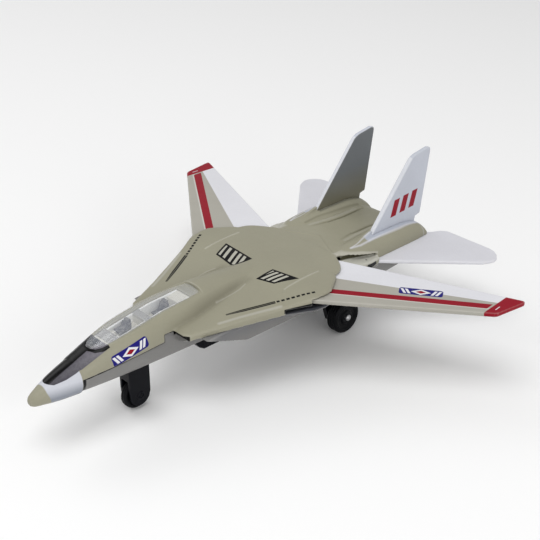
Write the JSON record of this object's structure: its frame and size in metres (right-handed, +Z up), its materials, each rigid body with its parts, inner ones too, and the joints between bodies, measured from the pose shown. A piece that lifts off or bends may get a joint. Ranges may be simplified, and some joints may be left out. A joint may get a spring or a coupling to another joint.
{
  "type": "toy airplane",
  "caption": "Pocket die-cast toy jet with geared swing wings, twin fins, clear canopy and free-rolling wheels on wire axles.",
  "frame": {"origin": "on the ground under the wheels, at the centre of the bounding box in plan", "axes": "+Z up, nose toward -Y, tail toward +Y, port (left) side toward +X"},
  "size_m": [0.1238, 0.1342, 0.0472],
  "materials": {
    "tan_casting": "satin enamel",
    "white_casting": "satin enamel",
    "grey_moulding": "satin",
    "wing_moulding": "satin, printed",
    "white_moulding": "satin",
    "clear_canopy": "clear, glossy moulded plastic",
    "cockpit_grey": "matt",
    "black_moulding": "satin",
    "steel_wire": "drawn"
  },
  "bodies": {
    "airframe": {"upper_body": "tan_casting", "lower_body": "grey_moulding", "canopy": "clear_canopy", "cockpit_tub": "cockpit_grey", "fin_port": "white_casting", "fin_starboard": "white_casting", "tailplane_port": "white_moulding", "tailplane_starboard": "white_moulding", "wing_pivot_pins": "steel_wire", "nose_gear_leg": "black_moulding", "nose_axle": "black_moulding", "belly_keel": "black_moulding", "main_gear_bracket": "black_moulding", "assembly_screws": "steel_wire"},
    "port_wing": {"wing_port": "wing_moulding"},
    "starboard_wing": {"wing_starboard": "wing_moulding"},
    "nose_roller": {"nose_wheel": "black_moulding"},
    "main_wheelset": {"main_axle": "steel_wire", "main_wheel_port": "black_moulding", "main_wheel_starboard": "black_moulding"}
  },
  "joints": [
    {"name": "wing_port_sweep", "type": "hinge", "parent": "airframe", "child": "port_wing", "pos_m": [0.019, 0.01287, 0.0249], "axis": [0, 0, 1], "range_deg": [-12, 30]},
    {"name": "wing_starboard_sweep", "type": "hinge", "parent": "airframe", "child": "starboard_wing", "pos_m": [-0.019, 0.01287, 0.0249], "axis": [0, 0, 1], "range_deg": [-30, 12]},
    {"name": "nose_wheel_spin", "type": "hinge", "parent": "airframe", "child": "nose_roller", "pos_m": [0, -0.03603, 0.0043], "axis": [1, 0, 0], "continuous": true},
    {"name": "main_axle_spin", "type": "hinge", "parent": "airframe", "child": "main_wheelset", "pos_m": [0, 0.02977, 0.005], "axis": [1, 0, 0], "continuous": true}
  ],
  "couplings": [
    {"joint": "wing_starboard_sweep", "follows": "wing_port_sweep", "ratio": -1}
  ]
}
